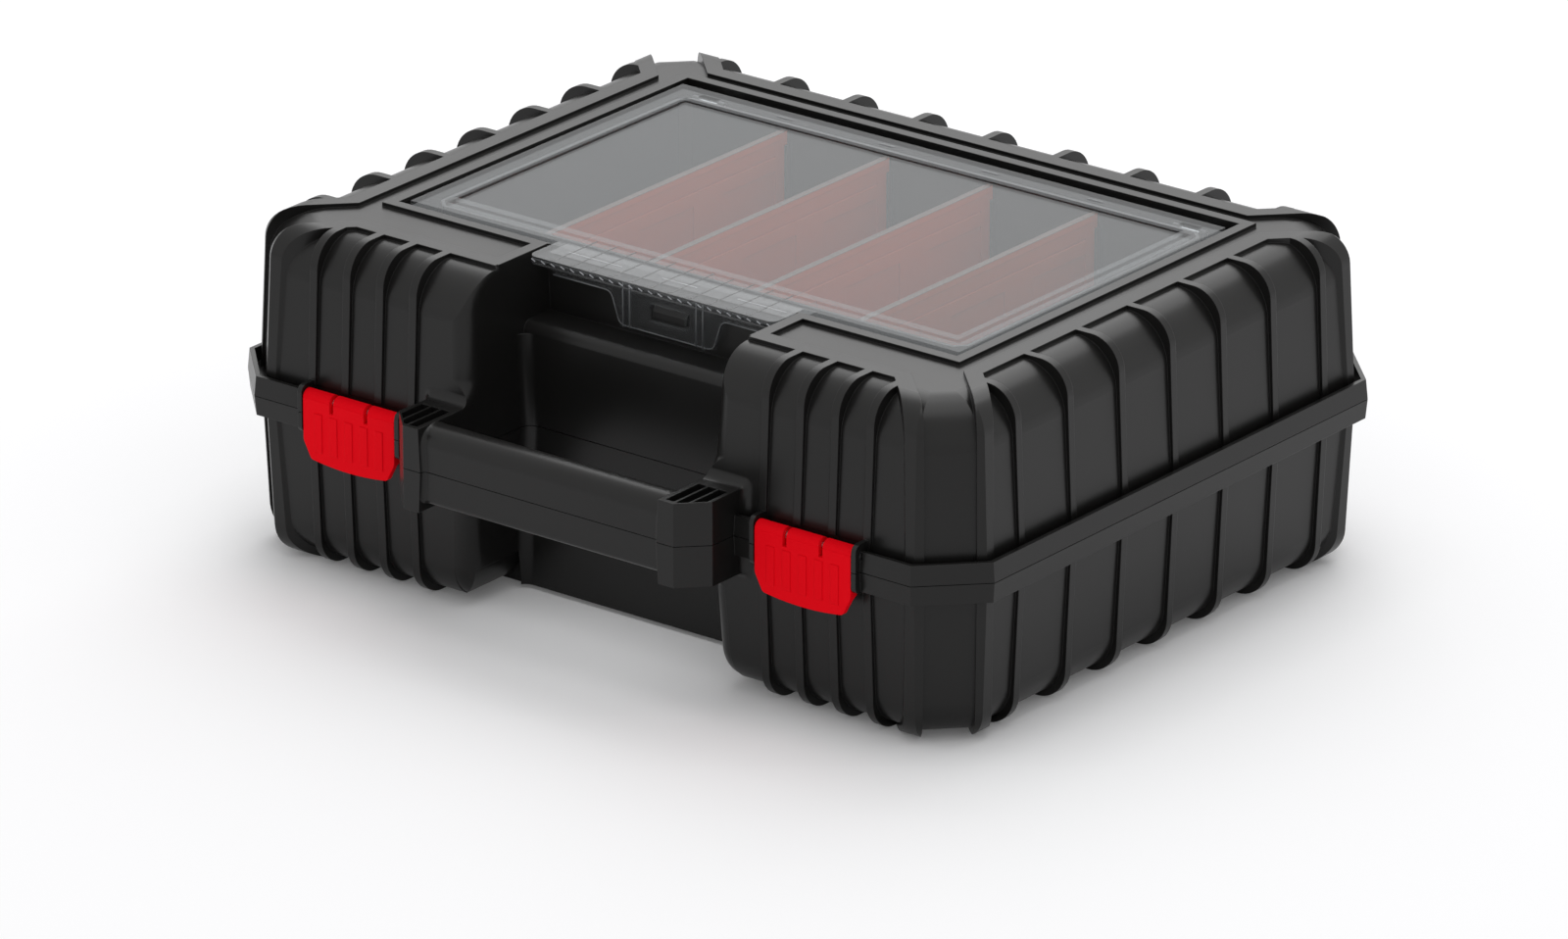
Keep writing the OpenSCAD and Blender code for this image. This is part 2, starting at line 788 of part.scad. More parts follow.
module upper_shell() color(black) stand() {
    difference() {
        union() {
            difference() {
                union() {
                    shell_skin(upper_h, band_relief, top_bend_r) {
                        rib_plan();
                        frame_plan();
                    }
                    cheeks(cheek_up);
                    grip_brackets(bracket_up);
                }
                difference() {
                    shell_hollow(upper_h, band_relief, top_bend_r);
                    recess_space(wall, upper_h) recess_steps(wall);
                    recess_fronts(upper_h, top_bend_r);
                    seat_walls();
                }
                difference() {
                    recess_space(0, upper_h) recess_steps();
                    recess_corners(ledge_z - ledge_r);
                }
                recess_edges(deck_z, bracket_up, fade, top_bend_r);
                seat_cut();
                seat_clear(lip_t + air, pocket_y);
                seat_clear(-over, plate_y);
            }
            grip_bar(bar_up, bar_r);
            knuckles(false);
            lid_lugs();
            catch();
        }
        below_seam();
        for (side = [-1, 1]) {
            rod_x(side * latch_x - latch_seat - cheek_w - over,
                  side * latch_x + latch_seat + cheek_w + over,
                  latch_axis_y, latch_axis_z, latch_pin_r + run_fit);
            rod_x(side * lid_knuckle_x - lid_knuckle_w, side * lid_knuckle_x + lid_knuckle_w,
                  lid_axis_y, lid_axis_z, lid_pin_r + run_fit);
        }
    }
}

// chamfered plan of the tub's inside, grown for its wall or its opening
module tub_plan(grow = 0) {
    x = tub_half + grow;
    f = tub_front - grow;
    b = tub_back + grow;
    c = tub_cut + grow * (2 - sqrt(2));
    polygon([[c - x, f], [x - c, f], [x, f + c], [x, b - c],
             [x - c, b], [c - x, b], [-x, b - c], [-x, f + c]]);
}

function bay_x(k) = (k - (divider_count + 1) / 2) * bay_pitch;

module organizer_tub() color(black) stand() {
    difference() {
        union() {
            translate([0, 0, tub_floor - tub_wall])
                linear_extrude(tub_top - tub_floor + tub_wall) tub_plan(tub_wall);
            for (side = [-1, 1], y = boss_ys)
                translate([0, 0, boss_low - ear_t]) linear_extrude(ear_t) {
                    translate([side * (tub_half + boss_x) / 2, y])
                        square([boss_x - tub_half, 2 * boss_r], center = true);
                    translate([side * boss_x, y]) circle(boss_r);
                }
        }
        translate([0, 0, tub_floor]) linear_extrude(tub_depth + over) tub_plan();
        for (side = [-1, 1], y = boss_ys)
            translate([side * boss_x, y, boss_low - ear_t - over])
                cylinder(h = ear_t + 2 * over, r = screw_r + ear_fit);
    }
    // pairs of guide ribs for the dividers
    for (k = [1 : divider_count], side = [-1, 1], y = [tub_front, tub_back - guide_d])
        translate([bay_x(k) + side * (divider_t / 2 + air + guide_w / 2), y, tub_floor - tub_wall / 2])
            translate([-guide_w / 2, y == tub_front ? -tub_wall / 2 : 0, 0])
                cube([guide_w, guide_d + tub_wall / 2, divider_top - guide_low - tub_floor + tub_wall / 2]);
}

module divider(k) color(divider_red) stand() translate([bay_x(k), 0, 0]) {
    front = tub_front + air;
    back = tub_back - air;
    bottom = tub_floor + air;
    pitch = panel_w + panel_gap;
    difference() {
        union() {
            block(-divider_t / 2, divider_t / 2, front, back, bottom, divider_top);
            block(-bead_t / 2, bead_t / 2, front + guide_d, back - guide_d,
                  divider_top - bead_h, divider_top);
        }
        for (side = [-1, 1], i = [0 : panel_count - 1])
            translate([side * divider_t / 2, (front + back) / 2 + (i - (panel_count - 1) / 2) * pitch, 0])
                block(-panel_sink, panel_sink, -panel_w / 2, panel_w / 2,
                      bottom + panel_foot, divider_top - panel_head);
        for (side = [-1, 1])
            translate([side * divider_t / 2, 0, 0])
                block(-line_sink, line_sink, front + line_in, back - line_in,
                      divider_top - line_low, divider_top - line_low + line_h);
    }
}

module divider_1() divider(1);
module divider_2() divider(2);
module divider_3() divider(3);
module divider_4() divider(4);

module tab_plan() {
    rect(-tab_half, tab_half, tab_front + tab_r, lid_front + over);
    rect(-tab_half + tab_r, tab_half - tab_r, tab_front, lid_front);
    for (side = [-1, 1])
        translate([side * (tab_half - tab_r), tab_front + tab_r]) circle(tab_r);
}

// clear tongue with a window that snaps over the catch, and two stiffening ribs a side
module tongue() {
    top = tongue_w / 2;
    low = top - tongue_taper;
    skirt = tab_half - skirt_in;
    skirt_z = lid_under - skirt_h;
    difference() {
        translate([0, tongue_y + tongue_t, 0]) rotate([90, 0, 0]) linear_extrude(tongue_t)
            polygon([[-low, tongue_low], [low, tongue_low], [top, skirt_z], [skirt, skirt_z],
                     [skirt, lid_under + joined], [-skirt, lid_under + joined],
                     [-skirt, skirt_z], [-top, skirt_z]]);
        block(-catch_w / 2, catch_w / 2, tongue_y - over, tongue_y + tongue_t + over,
              catch_z, catch_z + catch_h);
    }
    for (side = [-1, 1], x = [low - 2 * tongue_rib_pitch, low - tongue_rib_pitch])
        block(side * x - tongue_rib_w / 2, side * x + tongue_rib_w / 2, tongue_y - tongue_rib_h,
              tongue_y + joined, tongue_low + joined, lid_under + joined);
}

module clear_lid() color(clear) stand() {
    bumps = 4;
    bump_w = 8;
    bump_t = 1.4;
    bump_y = window_back + lid_t + 3;
    difference() {
        union() {
            block(-lid_x, lid_x, lid_front, lid_back, lid_under, lid_top);
            block(-window_x - lid_t, window_x + lid_t, window_front - lid_t, window_back + lid_t,
                  lid_under - lid_sink, lid_under + over);
            translate([0, 0, lid_under]) linear_extrude(lid_t) tab_plan();
            translate([0, 0, lid_top - tab_lip]) linear_extrude(tab_lip - over / 2)
                intersection() {
                    tab_plan();
                    rect(-tab_half, tab_half, tab_front, tab_front + tab_lip_t);
                }
        }
        block(-window_x, window_x, window_front, window_back, lid_top - lid_sink, lid_top + over);
    }
    tongue();
    // locating bumps over the dividers' back ends
    for (k = [1 : bumps])
        translate([bay_x(k), bump_y, 0])
            block(-bump_w / 2, bump_w / 2, -bump_t / 2, bump_t / 2, lid_top - joined, upper_h);
    // hinge knuckles under the back edge
    for (side = [-1, 1])
        difference() {
            union() {
                rod_x(side * lid_knuckle_x - lid_knuckle_w / 2, side * lid_knuckle_x + lid_knuckle_w / 2,
                      lid_axis_y, lid_axis_z, lid_knuckle_r);
                block(side * lid_knuckle_x - lid_knuckle_w / 2, side * lid_knuckle_x + lid_knuckle_w / 2,
                      lid_axis_y - knuckle_neck / 2, lid_axis_y + knuckle_neck / 2, lid_axis_z,
                      lid_under + joined);
            }
            rod_x(side * lid_knuckle_x - lid_knuckle_w, side * lid_knuckle_x + lid_knuckle_w,
                  lid_axis_y, lid_axis_z, lid_pin_r + run_fit);
        }
}

module latch_outline() {
    x = latch_w / 2;
    low_x = x - latch_taper;
    r = (low_x * low_x + latch_sag * latch_sag) / (2 * latch_sag);
    low_z = -latch_drop + latch_sag;
    polygon([[-x, cheek_up], [-x, -taper_down], [-low_x, low_z], [low_x, low_z], [x, -taper_down],
             [x, cheek_up]]);
    intersection() {
        translate([0, low_z - latch_sag + r]) circle(r, $fn = 180);
        rect(-low_x, low_x, -latch_drop - over, low_z);
    }
}

module latch(side) color(latch_red) stand() translate([side * latch_x, 0, 0]) {
    plate_back = latch_face + latch_t;
    difference() {
        intersection() {
            translate([-latch_w / 2, 0, 0]) rotate([90, 0, 90]) linear_extrude(latch_w) {
                rect(latch_face, latch_face + latch_t, -latch_drop, latch_axis_z);
                translate([latch_axis_y, latch_axis_z]) circle(barrel_r);
                // hook under the lower flange
                polygon([[plate_back - joined, -hook_z], [plate_back + hook_reach, -hook_z],
                         [plate_back + hook_reach, -hook_z - hook_t],
                         [plate_back - joined, -hook_z - 4 * hook_t]]);
            }
            rotate([90, 0, 0]) linear_extrude(2 * span, center = true) latch_outline();
        }
        for (s = [-1, 1])
            block(s * slit_x - slit_w / 2, s * slit_x + slit_w / 2, latch_face - over,
                  latch_axis_y + 2 * barrel_r, slit_low, cheek_up + over);
        rod_x(-latch_w, latch_w, latch_axis_y, latch_axis_z, latch_pin_r + run_fit);
    }
    for (k = [0 : grips - 1])
        translate([(k - (grips - 1) / 2) * grip_pitch, latch_face, 0])
            block(-grip_w / 2, grip_w / 2, -grip_h, joined, -grip_low, grip_high);
}

module latch_left() latch(-1);
module latch_right() latch(1);

module latch_pin(side) color(steel) stand()
    rod_x(side * latch_x - latch_seat - cheek_w, side * latch_x + latch_seat + cheek_w,
          latch_axis_y, latch_axis_z, latch_pin_r);

module latch_pin_left() latch_pin(-1);
module latch_pin_right() latch_pin(1);

module hinge_pin(side) color(steel) stand()
    rod_x(side * hinge_x - hinge_len / 2, side * hinge_x + hinge_len / 2, hinge_y, 0, hinge_pin_r);

module hinge_pin_left() hinge_pin(-1);
module hinge_pin_right() hinge_pin(1);

module lid_pin(side) color(steel) stand() {
    reach = lid_knuckle_w / 2 + air + lid_lug_w;
    rod_x(side * lid_knuckle_x - reach, side * lid_knuckle_x + reach, lid_axis_y, lid_axis_z, lid_pin_r);
}

module lid_pin_left() lid_pin(-1);
module lid_pin_right() lid_pin(1);

module tub_screw(side, y) color(steel) stand() translate([side * boss_x, y, boss_low - ear_t]) {
    difference() {
        translate([0, 0, -screw_head_h]) cylinder(h = screw_head_h, r = screw_head_r);
        translate([-screw_head_r, -screw_slot / 2, -screw_head_h - over])
            cube([2 * screw_head_r, screw_slot, over + screw_slot]);
    }
    cylinder(h = screw_len - over, r = screw_r);
}

module tub_screw_1() tub_screw(-1, boss_ys[0]);
module tub_screw_2() tub_screw(1, boss_ys[0]);
module tub_screw_3() tub_screw(-1, boss_ys[1]);
module tub_screw_4() tub_screw(1, boss_ys[1]);

lower_shell();
upper_shell();
organizer_tub();
clear_lid();
divider_1();
divider_2();
divider_3();
divider_4();
latch_left();
latch_right();
latch_pin_left();
latch_pin_right();
hinge_pin_left();
hinge_pin_right();
lid_pin_left();
lid_pin_right();
tub_screw_1();
tub_screw_2();
tub_screw_3();
tub_screw_4();
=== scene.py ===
import math

import bmesh
import bpy
from mathutils import Matrix, Vector


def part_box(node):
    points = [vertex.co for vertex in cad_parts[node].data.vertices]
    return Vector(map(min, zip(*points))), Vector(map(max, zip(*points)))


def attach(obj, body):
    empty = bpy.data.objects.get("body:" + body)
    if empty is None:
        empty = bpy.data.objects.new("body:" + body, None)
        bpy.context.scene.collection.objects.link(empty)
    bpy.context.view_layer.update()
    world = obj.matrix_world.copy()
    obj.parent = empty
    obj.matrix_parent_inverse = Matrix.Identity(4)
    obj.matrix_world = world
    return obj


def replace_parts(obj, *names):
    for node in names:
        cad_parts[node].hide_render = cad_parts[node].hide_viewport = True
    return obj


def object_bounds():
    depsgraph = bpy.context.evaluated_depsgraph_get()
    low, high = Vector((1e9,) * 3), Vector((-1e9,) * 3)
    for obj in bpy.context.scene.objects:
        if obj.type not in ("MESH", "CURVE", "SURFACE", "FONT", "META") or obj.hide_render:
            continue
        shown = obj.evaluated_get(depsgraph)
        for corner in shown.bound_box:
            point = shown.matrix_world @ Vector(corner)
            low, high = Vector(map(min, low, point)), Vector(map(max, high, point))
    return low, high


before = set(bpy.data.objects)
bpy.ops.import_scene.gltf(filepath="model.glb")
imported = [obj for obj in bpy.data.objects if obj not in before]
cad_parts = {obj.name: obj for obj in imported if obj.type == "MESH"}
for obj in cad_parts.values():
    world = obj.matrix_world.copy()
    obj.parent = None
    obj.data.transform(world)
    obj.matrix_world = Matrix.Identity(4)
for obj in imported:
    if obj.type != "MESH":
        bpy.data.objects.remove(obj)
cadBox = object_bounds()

mm = 0.001
scene = bpy.context.scene
seamZ = (cadBox[0][2] + cadBox[1][2]) / 2      # the parting line between the shells


camera = {
    "place": (2.7669, -3.5554, 1.8175),
    "tilt": 68.425,      # degrees from straight down
    "turn": 37.95,
    "lens": 271.26,      # mm on a 36 mm wide sensor
    "sensor": 36.0,
    "reach": 60,
}


def makeCamera():
    data = bpy.data.cameras.new("camera")
    data.sensor_width = camera["sensor"]
    data.lens = camera["lens"]
    data.clip_end = camera["reach"]
    eye = bpy.data.objects.new("camera", data)
    eye.location = camera["place"]
    eye.rotation_euler = (math.radians(camera["tilt"]), 0, math.radians(camera["turn"]))
    scene.collection.objects.link(eye)
    scene.camera = eye
    print("camera set")


class Wire:
    # a socket that adds Math nodes when it is used in an expression
    def __init__(self, shader, socket):
        self.shader = shader
        self.socket = socket

    def maths(self, operation, a, b, clamp=False):
        return self.shader.node("ShaderNodeMath", {"operation": operation, "use_clamp": clamp},
                                {0: a, 1: b})

    def __add__(self, other):
        return self.maths("ADD", self, other)

    def __radd__(self, other):
        return self.maths("ADD", other, self)

    def __sub__(self, other):
        return self.maths("SUBTRACT", self, other)

    def __rsub__(self, other):
        return self.maths("SUBTRACT", other, self)

    def __mul__(self, other):
        return self.maths("MULTIPLY", self, other)

    def __rmul__(self, other):
        return self.maths("MULTIPLY", other, self)

    def atLeast(self, other):
        return self.maths("MAXIMUM", self, other)

    def clamped(self):
        return self.maths("ADD", self, 0.0, True)


class Shader:
    # one material or world, and every node that goes into it
    def __init__(self, owner):
        owner.use_nodes = True
        self.tree = owner.node_tree
        self.tree.nodes.clear()

    def node(self, kind, settings=None, inputs=None, output=0):
        made = self.tree.nodes.new(kind)
        for name, value in (settings or {}).items():
            setattr(made, name, value)
        for name, value in (inputs or {}).items():
            if isinstance(value, Wire):
                self.tree.links.new(value.socket, made.inputs[name])
            else:
                made.inputs[name].default_value = value
        return Wire(self, made.outputs[output]) if made.outputs else None

    def place(self):
        return self.node("ShaderNodeTexCoord", output="Object")

    def beyond(self, axis, limit, fade):
        # 0 up to a limit along one axis of the piece, and 1 once past it by the fade
        along = self.node("ShaderNodeSeparateXYZ", {}, {"Vector": self.place()}, output=axis)
        return ((along - limit) * (1 / fade)).clamped()

    def ray(self, kind):
        return self.node("ShaderNodeLightPath", output="Is " + kind + " Ray")

    def mixColour(self, amount, a, b):
        # the Mix node's colour sockets share their names with its other kinds, so they go by number
        return self.node("ShaderNodeMix", {"data_type": "RGBA"}, {"Factor": amount, 6: a, 7: b},
                         output=2)

    def noise(self, place, scale, detail=2.0):
        return self.node("ShaderNodeTexNoise", {},
                         {"Vector": place, "Scale": scale, "Detail": detail, "Roughness": 0.5})

    def finish(self, surface, kind="ShaderNodeOutputMaterial"):
        self.node(kind, {}, {"Surface": surface})


def rgb(r, g, b):
    return (r, g, b, 1.0)


moulding = {
    "wear": 22.0,               # patches per metre
    "wearDetail": 3.0,
    "wearRoughness": 0.08,
    "grainDetail": 1.0,
    "edgeSamples": 6,
}

shellBlack = {
    "colour": rgb(0.0082, 0.0079, 0.0076),
    "worn": rgb(0.0102, 0.0098, 0.0094),
    "grain": 1500.0,            # cells per metre
    "grainDepth": 0.010 * mm,
    "roughness": 0.30,
    "gloss": 0.5,
    "ior": 1.34,
    "edge": 0.4 * mm,           # round of the moulded edges
}

tubBlack = dict(
    shellBlack,
    colour=rgb(0.010, 0.010, 0.0105),
    worn=rgb(0.013, 0.013, 0.0135),
    roughness=0.35,
)

latchRed = {
    "colour": rgb(0.87, 0.0006, 0.0070),
    "worn": rgb(0.90, 0.0010, 0.0090),
    "grain": 1800.0,
    "grainDepth": 0.003 * mm,
    "roughness": 0.62,
    "gloss": 0.06,
    "ior": 1.45,
    "edge": 0.5 * mm,
}

dividerRed = {
    "colour": rgb(0.60, 0.085, 0.010),
    "worn": rgb(0.64, 0.095, 0.014),
    "grain": 1800.0,
    "grainDepth": 0.004 * mm,
    "roughness": 0.5,
    "gloss": 0.2,
    "ior": 1.5,
    "edge": 0.4 * mm,
    "topSheen": rgb(0.120, 0.078, 0.064),     # painted sheen: the beads' tops get a dull grey that stands in for the light they reflect
    "topSheenAbove": 138.5 * mm,
    "topSheenFade": 0.2 * mm,
}


def mouldedPlastic(name, settings):
    material = bpy.data.materials.new(name)
    shader = Shader(material)
    mottle = shader.noise(shader.place(), moulding["wear"], moulding["wearDetail"])
    grain = shader.noise(shader.place(), settings["grain"], moulding["grainDetail"])
    softEdge = shader.node("ShaderNodeBevel", {"samples": moulding["edgeSamples"]},
                           {"Radius": settings["edge"]})
    normal = shader.node("ShaderNodeBump", {}, {
        "Height": grain, "Distance": settings["grainDepth"], "Strength": 1.0, "Normal": softEdge})
    colour = shader.mixColour(mottle, settings["colour"], settings["worn"])
    # painted sheen: above a given height the colour turns to a grey that stands in for the
    # reflection on the tops
    if "topSheen" in settings:
        top = shader.beyond("Z", settings["topSheenAbove"], settings["topSheenFade"])
        colour = shader.mixColour(top, colour, settings["topSheen"])
    shader.finish(shader.node("ShaderNodeBsdfPrincipled", {}, {
        "Base Color": colour,
        "Roughness": settings["roughness"] + (mottle - 0.5) * moulding["wearRoughness"],
        "IOR": settings["ior"],
        "Specular IOR Level": settings["gloss"],
        "Normal": normal}))
    return material


clearSheet = {
    "tint": rgb(0.935, 0.945, 0.95),
    "shine": rgb(0.80, 0.81, 0.82),
    "ior": 1.49,
    "tabBehind": -76 * mm,      # the tab and the tongue lie in front of this
    "tabFade": 1 * mm,
    "tabFace": 143.3 * mm,
    "faceFade": 0.2 * mm,
    "tabShine": 1.7,            # share of the lid's shine on the tab's face
    "hangShine": 0.35,          # and on what hangs from it
}


def clearPlastic(name, settings):
    # a thin sheet: it shines by angle, and lets the rest through without bending it
    material = bpy.data.materials.new(name)
    shader = Shader(material)
    inside = shader.node("ShaderNodeNewGeometry", output="Backfacing")
    n = settings["ior"]
    angle = shader.node("ShaderNodeFresnel", {}, {"IOR": n + inside * (1 / n - n)})
    sheen = shader.node("ShaderNodeBsdfDiffuse", {}, {"Color": settings["shine"]})
    through = shader.node("ShaderNodeBsdfTransparent", {}, {"Color": settings["tint"]})
    onLid = shader.beyond("Y", settings["tabBehind"], settings["tabFade"])
    onFace = shader.beyond("Z", settings["tabFace"], settings["faceFade"])
    onTab = settings["hangShine"] + onFace * (settings["tabShine"] - settings["hangShine"])
    unlit = shader.ray("Shadow").atLeast(shader.ray("Diffuse"))
    share = angle * (onTab + onLid * (1 - onTab)) * (1 - unlit)
    shader.finish(shader.node("ShaderNodeMixShader", {}, {0: share, 1: through, 2: sheen}))
    return material


drawnSteel = {
    "colour": rgb(0.56, 0.57, 0.58),
    "stretch": (60, 2500, 2500),    # drawn along the pins, which lie along X
    "roughness": 0.25,
    "roughnessSpread": 0.2,
}


def brushedSteel(name, settings):
    material = bpy.data.materials.new(name)
    shader = Shader(material)
    stretched = shader.node("ShaderNodeMapping", {},
                            {"Vector": shader.place(), "Scale": settings["stretch"]})
    drawn = shader.noise(stretched, 1.0)
    shader.finish(shader.node("ShaderNodeBsdfPrincipled", {}, {
        "Base Color": settings["colour"],
        "Metallic": 1.0,
        "Roughness": settings["roughness"] + drawn * settings["roughnessSpread"]}))
    return material


# colours of the lines painted on the clear lid: painted shade in its grips and lip, painted
# highlights on its edges, dashes and knurl
edgeLines = {
    "groove": rgb(0.030, 0.031, 0.032),
    "paintedHighlight": rgb(0.38, 0.39, 0.41),
    "paleHighlight": rgb(0.16, 0.165, 0.17),
    "patches": 260.0,       # per metre
    "patchShade": 0.6,
    "roughness": 0.3,
}


def edgeLight(name, colour):
    # painted highlights and painted shade: the pale and dark lines that stand in for the light and
    # shade on a clear sheet's edges and grips
    material = bpy.data.materials.new(name)
    shader = Shader(material)
    patch = shader.noise(shader.place(), edgeLines["patches"])
    darker = rgb(*(edgeLines["patchShade"] * part for part in colour[:3]))
    shader.finish(shader.node("ShaderNodeBsdfPrincipled", {}, {
        "Base Color": shader.mixColour(patch, darker, colour),
        "Roughness": edgeLines["roughness"]}))
    return material


finishes = {
    "shell": mouldedPlastic("blackShell", shellBlack),
    "tub": mouldedPlastic("blackTub", tubBlack),
    "latch": mouldedPlastic("redLatch", latchRed),
    "divider": mouldedPlastic("redDivider", dividerRed),
    "clear": clearPlastic("clearLid", clearSheet),
    "steel": brushedSteel("steel", drawnSteel),
    "groove": edgeLight("lidGrooveShade", edgeLines["groove"]),
    "paintedHighlight": edgeLight("lidPaintedHighlight", edgeLines["paintedHighlight"]),
    "paleHighlight": edgeLight("lidPaleHighlight", edgeLines["paleHighlight"]),
}


nodeFinishes = {            # the first of these words in a node's name says its finish
    "pin": "steel",
    "screw": "steel",
    "lid": "clear",
    "tub": "tub",
    "shell": "shell",
    "latch": "latch",
    "divider": "divider",
}


def dressNodes():
    for name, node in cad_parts.items():
        finish = next(finish for word, finish in nodeFinishes.items() if word in name)
        node.data.materials.clear()
        node.data.materials.append(finishes[finish])
    print("materials on", len(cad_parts), "nodes")


def newObject(name, bm, material):
    mesh = bpy.data.meshes.new(name)
    bm.to_mesh(mesh)
    bm.free()
    mesh.materials.append(material)
    made = bpy.data.objects.new(name, mesh)
    scene.collection.objects.link(made)
    return made


def newPiece(name, bm, finish, body, smooth=False):
    piece = newObject(name, bm, finishes[finish])
    if smooth:
        piece.data.shade_smooth()
    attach(piece, body)
    return piece


def addBar(bm, middle, size, turn=0.0, axis="Z"):
    matrix = (Matrix.Translation(middle) @ Matrix.Rotation(turn, 4, axis)
              @ Matrix.Diagonal((*size, 1.0)))
    bmesh.ops.create_cube(bm, size=1.0, matrix=matrix)


def addRod(bm, start, end, radius, sides=8):
    start, end = Vector(start), Vector(end)
    turn = (end - start).to_track_quat("Z", "Y").to_matrix().to_4x4()
    bmesh.ops.create_cone(bm, segments=sides, radius1=radius, radius2=radius,
                          depth=(end - start).length, cap_ends=True,
                          matrix=Matrix.Translation((start + end) / 2) @ turn)


tab = {
    "top": 0.4 * mm,            # the lid's face below the highest point of its bumps
    "raised": 0.12 * mm,        # how thick the grips and the lip's lines are drawn

    "grips": 11,
    "first": -50.4 * mm,
    "pitch": 10.05 * mm,
    "gripFrom": 1.2 * mm,       # behind the tab's front
    "gripLength": 27.8 * mm,
    "gripWidth": 0.55 * mm,
    "hook": 2.3 * mm,           # the short foot of each grip, which turns to the left
    "hookMiddle": 0.42,         # of its length, left of the grip
    "hookFrom": 1.3 * mm,
    "hookTurn": math.radians(-12),

    "lip": 3.4 * mm,            # height of the tab's front
    "lipLines": (0.35 * mm, 2.9 * mm),      # painted shade: two dark lines across the tab's front, this far below the lid's face
    "lipLineReach": 0.86,       # of the lid's half width
    "lipLineHeight": 0.5 * mm,

    "dashes": ((-51.6, -24.3), (-3.5, 14.2), (35.0, 60.0)),     # painted highlights: pale dashes across the tab, mm from the middle
    "dashFrom": 12.4 * mm,
    "dashSize": (0.55 * mm, 0.1 * mm),

    # the lip's knurl, drawn only as pale tilted bars: painted highlights
    "twists": 25,
    "twistSize": (2.1 * mm, 0.3 * mm, 0.36 * mm),
    "twistTurn": math.radians(24),
}


def makeTabLines(front, top, halfWidth):
    # painted shade: dark strips where the grips and the lip's lines are, on a sheet that is clear
    grooves = bmesh.new()
    for k in range(tab["grips"]):
        x = tab["first"] + k * tab["pitch"]
        addBar(grooves, (x, front + tab["gripFrom"] + tab["gripLength"] / 2, top),
               (tab["gripWidth"], tab["gripLength"], tab["raised"]))
        addBar(grooves, (x - tab["hookMiddle"] * tab["hook"], front + tab["hookFrom"], top),
               (tab["hook"], tab["gripWidth"], tab["raised"]), tab["hookTurn"])
    for below in tab["lipLines"]:
        addBar(grooves, (0, front, top - below),
               (halfWidth * tab["lipLineReach"], tab["raised"], tab["lipLineHeight"]))
    newPiece("tabGrooveShades", grooves, "groove", "clear_lid")

    # painted highlights: pale dashes on the tab and pale bars along its lip
    paintedHighlight = bmesh.new()
    for start, end in tab["dashes"]:
        addBar(paintedHighlight, ((start + end) / 2 * mm, front + tab["dashFrom"], top),
               ((end - start) * mm, *tab["dashSize"]))
    for k in range(tab["twists"]):
        x = (k - (tab["twists"] - 1) / 2) * tab["pitch"] / 2
        addBar(paintedHighlight, (x, front, top - tab["lip"] / 2), tab["twistSize"], tab["twistTurn"], "Y")
    newPiece("tabPaintedHighlights", paintedHighlight, "paintedHighlight", "clear_lid")


# the tongue's edges and ribs, drawn as thin pale rods: painted highlights
tongue = {
    "front": 10.3 * mm,         # behind the tab's front
    "skirt": 58.3 * mm,         # half widths: of the skirt, and of the tongue's top and bottom
    "top": 28.4 * mm,
    "low": 24.0 * mm,
    "skirtDrop": 10.6 * mm,     # below the lid's face
    "drop": 24.0 * mm,
    "corner": 3.0 * mm,
    "edge": 0.24 * mm,
    "ribs": (17.1 * mm, 20.5 * mm),
    "ribEdge": 0.22 * mm,
    "ribBefore": 2.2 * mm,      # in front of the tongue
    "ribAbove": 0.8 * mm,       # the tongue's bottom
    "ribPast": 6.0 * mm,        # the skirt's bottom
}


def roundedPath(points, radius, steps=4):
    # the same path with its inner corners rounded
    path = [Vector(points[0])]
    for before, corner, after in zip(points, points[1:], points[2:]):
        before, corner, after = Vector(before), Vector(corner), Vector(after)
        a = corner + (before - corner).normalized() * radius
        b = corner + (after - corner).normalized() * radius
        for k in range(steps + 1):
            t = k / steps
            path.append((1 - t) ** 2 * a + 2 * t * (1 - t) * corner + t ** 2 * b)
    path.append(Vector(points[-1]))
    return path


def makeTongueEdgeHighlights(front, top):
    y = front + tongue["front"]
    ribY = y - tongue["ribBefore"]
    skirtZ = top - tongue["skirtDrop"]
    lowZ = top - tongue["drop"]
    # painted highlights along the skirt's bottom, the tongue's outline and its ribs
    edge = bmesh.new()
    for side in (-1, 1):
        path = roundedPath(((side * tongue["skirt"], y, skirtZ), (side * tongue["top"], y, skirtZ),
                            (side * tongue["low"], y, lowZ), (0, y, lowZ)), tongue["corner"])
        for start, end in zip(path, path[1:]):
            addRod(edge, start, end, tongue["edge"])
        for rib in tongue["ribs"]:
            addRod(edge, (side * rib, ribY, lowZ + tongue["ribAbove"]),
                   (side * rib, ribY, skirtZ + tongue["ribPast"]), tongue["ribEdge"])
    newPiece("tongueEdgeHighlights", edge, "paleHighlight", "clear_lid", smooth=True)


def makeTabDetails():
    low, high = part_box("clear_lid")
    front = low[1]
    top = high[2] - tab["top"]
    makeTabLines(front, top, high[0])
    makeTongueEdgeHighlights(front, top)
    print("tab and tongue detailed")


flare = {
    "radius": 2.2 * mm,         # of the hollow where the grip's bar meets its brackets
    "barFront": 2.3 * mm,       # behind the brackets' front
    "barDepth": 16.0 * mm,
    "halves": (             # height from the seam, and radius of the bar's long edges
        {"name": "upperFlare", "body": "upper_case", "up": 1,
         "height": 18.2 * mm, "corner": 7.6 * mm},
        {"name": "lowerFlare", "body": "lower_case", "up": -1,
         "height": 14.2 * mm, "corner": 2.6 * mm},
    ),
    "faceX": 60.5 * mm,         # the brackets' inner faces at the seam, and how far they lean
    "lean": math.tan(math.radians(3.0)),
    "seam": 0.15 * mm,
    "proud": 0.02 * mm,         # outside the bar, so that the two faces don't coincide
    "rise": 0.12,               # share of the growth by which the top also rises
    "rings": 6,
    "arc": 8,
}


